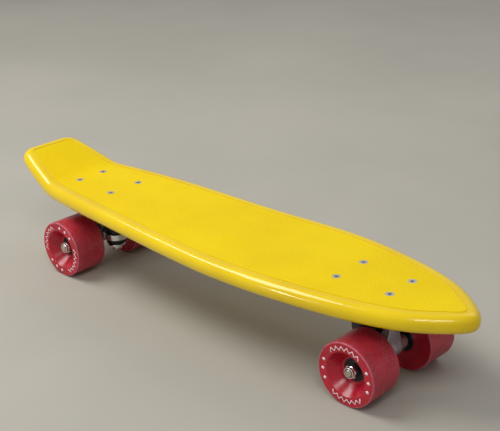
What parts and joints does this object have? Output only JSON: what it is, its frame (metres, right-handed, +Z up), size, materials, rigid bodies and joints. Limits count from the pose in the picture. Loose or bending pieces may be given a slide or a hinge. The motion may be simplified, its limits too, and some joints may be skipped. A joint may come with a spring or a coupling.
{
  "type": "skateboard",
  "caption": "Small moulded plastic skateboard with a rounded rim, kicktail, sprung steering trucks and dished urethane wheels on ball bearings.",
  "frame": {"origin": "on the floor under the middle of the deck", "axes": "+X towards the nose, +Y to the left of a rider facing the nose, +Z up"},
  "size_m": [0.66, 0.1613, 0.1328],
  "materials": {
    "deck_plastic": "glossy rim, finely grained matte top",
    "riser_rubber": "matte",
    "baseplate_nylon": "satin",
    "kingpin_steel": "zinc plated",
    "bushing_urethane": "satin",
    "washer_steel": "zinc plated",
    "nut_steel": "zinc plated",
    "pivot_urethane": "satin",
    "cast_aluminium": "as cast, ends machined",
    "axle_steel": "bright",
    "spacer_steel": "bright",
    "bearing_steel": "blackened",
    "ball_steel": "polished",
    "screw_steel": "zinc plated",
    "wheel_urethane": "glossy recess, matte worn tread",
    "core_nylon": "satin",
    "shield_rubber": "satin",
    "cage_nylon": "satin"
  },
  "bodies": {
    "deck_body": {"deck": "deck_plastic", "front_riser": "riser_rubber", "front_baseplate": "baseplate_nylon", "front_kingpin": "kingpin_steel", "front_upper_bushing": "bushing_urethane", "front_lower_bushing": "bushing_urethane", "front_upper_washer": "washer_steel", "front_cup_washer": "washer_steel", "front_kingpin_nut": "nut_steel", "front_pivot_cup": "pivot_urethane", "front_deck_screws": "screw_steel", "front_deck_nuts": "nut_steel", "rear_riser": "riser_rubber", "rear_baseplate": "baseplate_nylon", "rear_kingpin": "kingpin_steel", "rear_upper_bushing": "bushing_urethane", "rear_lower_bushing": "bushing_urethane", "rear_upper_washer": "washer_steel", "rear_cup_washer": "washer_steel", "rear_kingpin_nut": "nut_steel", "rear_pivot_cup": "pivot_urethane", "rear_deck_screws": "screw_steel", "rear_deck_nuts": "nut_steel"},
    "front_truck": {"front_hanger": "cast_aluminium", "front_axle": "axle_steel", "front_axle_nuts": "nut_steel", "front_axle_washers": "washer_steel", "front_bearing_spacers": "spacer_steel", "front_bearing_inner_rings": "bearing_steel"},
    "rear_truck": {"rear_hanger": "cast_aluminium", "rear_axle": "axle_steel", "rear_axle_nuts": "nut_steel", "rear_axle_washers": "washer_steel", "rear_bearing_spacers": "spacer_steel", "rear_bearing_inner_rings": "bearing_steel"},
    "front_left_wheel": {"front_left_tyre": "wheel_urethane", "front_left_wheel_core": "core_nylon", "front_left_bearing_outer_rings": "bearing_steel", "front_left_bearing_shields": "shield_rubber"},
    "front_left_ball_train": {"front_left_ball_cages": "cage_nylon", "front_left_balls": "ball_steel"},
    "front_right_wheel": {"front_right_tyre": "wheel_urethane", "front_right_wheel_core": "core_nylon", "front_right_bearing_outer_rings": "bearing_steel", "front_right_bearing_shields": "shield_rubber"},
    "front_right_ball_train": {"front_right_ball_cages": "cage_nylon", "front_right_balls": "ball_steel"},
    "rear_left_wheel": {"rear_left_tyre": "wheel_urethane", "rear_left_wheel_core": "core_nylon", "rear_left_bearing_outer_rings": "bearing_steel", "rear_left_bearing_shields": "shield_rubber"},
    "rear_left_ball_train": {"rear_left_ball_cages": "cage_nylon", "rear_left_balls": "ball_steel"},
    "rear_right_wheel": {"rear_right_tyre": "wheel_urethane", "rear_right_wheel_core": "core_nylon", "rear_right_bearing_outer_rings": "bearing_steel", "rear_right_bearing_shields": "shield_rubber"},
    "rear_right_ball_train": {"rear_right_ball_cages": "cage_nylon", "rear_right_balls": "ball_steel"}
  },
  "joints": [
    {"name": "front_steer", "type": "hinge", "parent": "deck_body", "child": "front_truck", "pos_m": [0.202, 0, 0.0402], "axis": [0.7612, 0, 0.6485], "range_deg": [-12, 12], "stiffness_Nm_per_rad": 60, "deforming": ["front_upper_bushing", "front_lower_bushing"]},
    {"name": "rear_steer", "type": "hinge", "parent": "deck_body", "child": "rear_truck", "pos_m": [-0.197, 0, 0.0402], "axis": [-0.7612, 0, 0.6485], "range_deg": [-12, 12], "stiffness_Nm_per_rad": 60, "deforming": ["rear_upper_bushing", "rear_lower_bushing"]},
    {"name": "front_left_wheel_spin", "type": "hinge", "parent": "front_truck", "child": "front_left_wheel", "pos_m": [0.227, 0, 0.0345], "axis": [0, 1, 0], "continuous": true},
    {"name": "front_left_ball_orbit", "type": "hinge", "parent": "front_truck", "child": "front_left_ball_train", "pos_m": [0.227, 0, 0.0345], "axis": [0, 1, 0], "continuous": true},
    {"name": "front_right_wheel_spin", "type": "hinge", "parent": "front_truck", "child": "front_right_wheel", "pos_m": [0.227, 0, 0.0345], "axis": [0, 1, 0], "continuous": true},
    {"name": "front_right_ball_orbit", "type": "hinge", "parent": "front_truck", "child": "front_right_ball_train", "pos_m": [0.227, 0, 0.0345], "axis": [0, 1, 0], "continuous": true},
    {"name": "rear_left_wheel_spin", "type": "hinge", "parent": "rear_truck", "child": "rear_left_wheel", "pos_m": [-0.222, 0, 0.0345], "axis": [0, 1, 0], "continuous": true},
    {"name": "rear_left_ball_orbit", "type": "hinge", "parent": "rear_truck", "child": "rear_left_ball_train", "pos_m": [-0.222, 0, 0.0345], "axis": [0, 1, 0], "continuous": true},
    {"name": "rear_right_wheel_spin", "type": "hinge", "parent": "rear_truck", "child": "rear_right_wheel", "pos_m": [-0.222, 0, 0.0345], "axis": [0, 1, 0], "continuous": true},
    {"name": "rear_right_ball_orbit", "type": "hinge", "parent": "rear_truck", "child": "rear_right_ball_train", "pos_m": [-0.222, 0, 0.0345], "axis": [0, 1, 0], "continuous": true}
  ],
  "couplings": [
    {"joint": "front_left_ball_orbit", "follows": "front_left_wheel_spin", "ratio": 0.63233},
    {"joint": "front_right_ball_orbit", "follows": "front_right_wheel_spin", "ratio": 0.63233},
    {"joint": "rear_left_ball_orbit", "follows": "rear_left_wheel_spin", "ratio": 0.63233},
    {"joint": "rear_right_ball_orbit", "follows": "rear_right_wheel_spin", "ratio": 0.63233}
  ]
}
